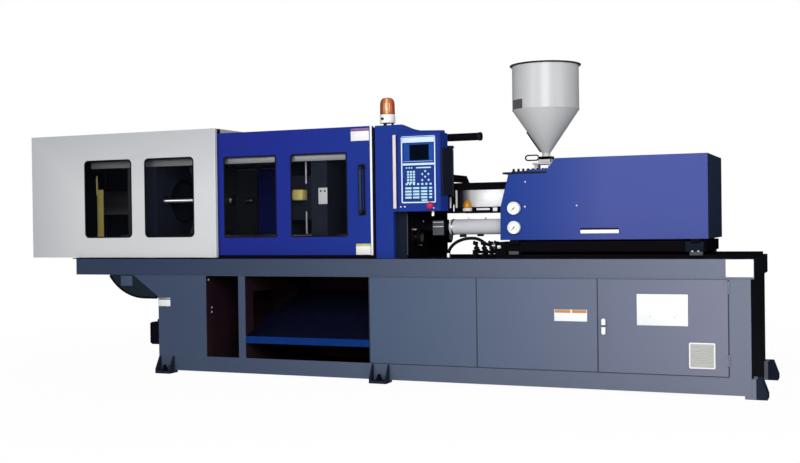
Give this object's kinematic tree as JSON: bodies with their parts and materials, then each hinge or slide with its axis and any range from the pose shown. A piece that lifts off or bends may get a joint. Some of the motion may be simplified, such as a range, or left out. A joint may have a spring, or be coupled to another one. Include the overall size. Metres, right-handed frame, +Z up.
{
  "type": "injection moulding machine",
  "caption": "Horizontal plastic injection moulding machine: toggle clamp behind sliding guards on a steel bed, control housing, screw unit with hopper.",
  "frame": {"origin": "on the floor, at half the overall length, on the centre line of the bed", "axes": "+X along the machine from the clamp to the screw unit, +Y to the back, away from the operator, +Z up"},
  "size_m": [5.51, 1.142, 2.16],
  "materials": {
    "bed_paint": "semi-gloss",
    "blue_paint": "gloss",
    "guard_paint": "semi-gloss",
    "platen_paint": "satin",
    "black_paint": "satin",
    "cast_iron": "machined",
    "bright_steel": "polished",
    "steel": "brushed",
    "stainless": "brushed",
    "clear_sheet": "clear",
    "black_plastic": "moulded",
    "panel_plastic": "moulded",
    "white_plastic": "moulded",
    "amber_plastic": "clear moulded",
    "red_plastic": "moulded",
    "hose_rubber": "smooth"
  },
  "bodies": {
    "root": {"bed_rails": "bed_paint", "bed_base": "bed_paint", "anchor_feet": "bed_paint", "belly_pan": "black_paint", "service_panels": "bed_paint", "product_chute": "blue_paint", "power_pack": "platen_paint", "electrical_plate": "steel", "junction_box": "black_paint", "fixed_platen": "platen_paint", "tie_bars": "bright_steel", "guide_rails": "steel", "clamp_guard_panels": "guard_paint", "clamp_guard_hood": "guard_paint", "guard_panes": "clear_sheet", "portal_cover": "blue_paint", "control_housing": "blue_paint", "operator_panel": "panel_plastic", "control_arm": "black_paint", "beacon_base": "white_plastic", "beacon_lens": "amber_plastic", "carriage_cylinders": "bright_steel", "hose_manifold": "black_paint", "supply_hose": "hose_rubber"},
    "tailstock": {"tailstock_platen": "platen_paint", "crosshead_guide_rods": "bright_steel", "clamp_cylinder": "platen_paint", "die_height_gear_case": "black_paint"},
    "rear_link_upper": {"rear_link_upper": "cast_iron"},
    "front_link_upper": {"front_link_upper": "cast_iron"},
    "moving_platen": {"moving_platen": "platen_paint"},
    "ejector": {"ejector": "steel"},
    "rear_link_lower": {"rear_link_lower": "cast_iron"},
    "front_link_lower": {"front_link_lower": "cast_iron"},
    "crosshead": {"crosshead": "cast_iron", "clamp_piston_rod": "bright_steel"},
    "crosshead_link_upper": {"crosshead_link_upper": "cast_iron"},
    "crosshead_link_lower": {"crosshead_link_lower": "cast_iron"},
    "front_door": {"front_door": "blue_paint", "front_door_panes": "clear_sheet", "front_door_handle": "black_plastic"},
    "rear_door": {"rear_door": "blue_paint", "rear_door_panes": "clear_sheet"},
    "cabinet_door": {"cabinet_door": "bed_paint"},
    "cabinet_lock": {"cabinet_lock": "black_plastic"},
    "e_stop_button": {"e_stop_button": "red_plastic"},
    "key_switch": {"key_switch": "steel"},
    "purge_guard": {"purge_guard": "black_paint"},
    "carriage": {"injection_carriage": "black_paint", "barrel": "steel", "barrel_guard": "steel", "shot_cylinders": "platen_paint", "injection_cover": "blue_paint", "pressure_gauges": "white_plastic", "hopper": "stainless"},
    "injection_slide": {"thrust_plate": "platen_paint"},
    "screw": {"screw": "bright_steel"},
    "hopper_gate": {"slide_gate": "steel"},
    "gauge_needle_lower": {"gauge_needle_lower": "black_plastic"},
    "gauge_needle_upper": {"gauge_needle_upper": "black_plastic"}
  },
  "joints": [
    {"name": "mould_height", "type": "slide", "parent": "root", "child": "tailstock", "axis": [1, 0, 0], "range_m": [-0.1, 0.2]},
    {"name": "toggle_fold", "type": "hinge", "parent": "tailstock", "child": "rear_link_upper", "pos_m": [-1.48227, 0, 1.66], "axis": [0, 1, 0], "range_deg": [-12, 44]},
    {"name": "knee_upper", "type": "hinge", "parent": "rear_link_upper", "child": "front_link_upper", "pos_m": [-1.13013, 0, 1.58515], "axis": [0, 1, 0], "range_deg": [-88, 24]},
    {"name": "platen_pivot", "type": "hinge", "parent": "front_link_upper", "child": "moving_platen", "pos_m": [-0.778, 0, 1.66], "axis": [0, 1, 0], "range_deg": [-12, 44]},
    {"name": "rear_pivot_lower", "type": "hinge", "parent": "tailstock", "child": "rear_link_lower", "pos_m": [-1.48227, 0, 0.9], "axis": [0, 1, 0], "range_deg": [-44, 12]},
    {"name": "knee_lower", "type": "hinge", "parent": "rear_link_lower", "child": "front_link_lower", "pos_m": [-1.13013, 0, 0.97485], "axis": [0, 1, 0], "range_deg": [-24, 88]},
    {"name": "crosshead_slide", "type": "slide", "parent": "tailstock", "child": "crosshead", "axis": [1, 0, 0], "range_m": [-0.14208, 0.03904]},
    {"name": "crosshead_link_upper_pivot", "type": "hinge", "parent": "rear_link_upper", "child": "crosshead_link_upper", "pos_m": [-1.42926, 0, 1.47754], "axis": [0, 1, 0], "range_deg": [-44, 12]},
    {"name": "crosshead_link_lower_pivot", "type": "hinge", "parent": "rear_link_lower", "child": "crosshead_link_lower", "pos_m": [-1.42926, 0, 1.08246], "axis": [0, 1, 0], "range_deg": [-12, 44]},
    {"name": "ejector_stroke", "type": "slide", "parent": "moving_platen", "child": "ejector", "axis": [1, 0, 0], "range_m": [0, 0.1]},
    {"name": "front_door_slide", "type": "slide", "parent": "root", "child": "front_door", "axis": [-1, 0, 0], "range_m": [0, 1.13]},
    {"name": "rear_door_slide", "type": "slide", "parent": "root", "child": "rear_door", "axis": [-1, 0, 0], "range_m": [0, 1.13]},
    {"name": "cabinet_door_hinge", "type": "hinge", "parent": "root", "child": "cabinet_door", "pos_m": [2.5365, -0.5103, 0.42], "axis": [0, 0, 1], "range_deg": [0, 110]},
    {"name": "cabinet_lock_turn", "type": "hinge", "parent": "cabinet_door", "child": "cabinet_lock", "pos_m": [1.776, -0.505, 0.42], "axis": [0, 1, 0], "range_deg": [0, 90]},
    {"name": "e_stop_push", "type": "slide", "parent": "root", "child": "e_stop_button", "axis": [0, 1, 0], "range_m": [0, 0.006]},
    {"name": "key_turn", "type": "hinge", "parent": "root", "child": "key_switch", "pos_m": [0.622, -0.47, 1.165], "axis": [0, 0, 1], "range_deg": [0, 60]},
    {"name": "purge_guard_hinge", "type": "hinge", "parent": "root", "child": "purge_guard", "pos_m": [0.6, 0.18, 1.41], "axis": [-1, 0, 0], "range_deg": [0, 80]},
    {"name": "carriage_slide", "type": "slide", "parent": "root", "child": "carriage", "axis": [1, 0, 0], "range_m": [0, 0.28]},
    {"name": "injection_stroke", "type": "slide", "parent": "carriage", "child": "injection_slide", "axis": [1, 0, 0], "range_m": [0, 0.18]},
    {"name": "screw_turn", "type": "hinge", "parent": "injection_slide", "child": "screw", "pos_m": [1.93, 0, 1.28], "axis": [1, 0, 0], "continuous": true},
    {"name": "hopper_gate_slide", "type": "slide", "parent": "carriage", "child": "hopper_gate", "axis": [-1, 0, 0], "range_m": [0, 0.07]},
    {"name": "gauge_needle_lower_turn", "type": "hinge", "parent": "carriage", "child": "gauge_needle_lower", "pos_m": [1.156, -0.355, 1.048], "axis": [0, 1, 0], "range_deg": [0, 270]},
    {"name": "gauge_needle_upper_turn", "type": "hinge", "parent": "carriage", "child": "gauge_needle_upper", "pos_m": [1.156, -0.355, 1.176], "axis": [0, 1, 0], "range_deg": [0, 270]}
  ],
  "couplings": [
    {"joint": "knee_upper", "follows": "toggle_fold", "ratio": -2},
    {"joint": "platen_pivot", "follows": "toggle_fold", "ratio": 1},
    {"joint": "rear_pivot_lower", "follows": "toggle_fold", "ratio": -1},
    {"joint": "knee_lower", "follows": "toggle_fold", "ratio": 2},
    {"joint": "crosshead_slide", "follows": "toggle_fold", "m_per_rad": -0.1845},
    {"joint": "crosshead_link_upper_pivot", "follows": "toggle_fold", "ratio": -1},
    {"joint": "crosshead_link_lower_pivot", "follows": "toggle_fold", "ratio": 1}
  ]
}
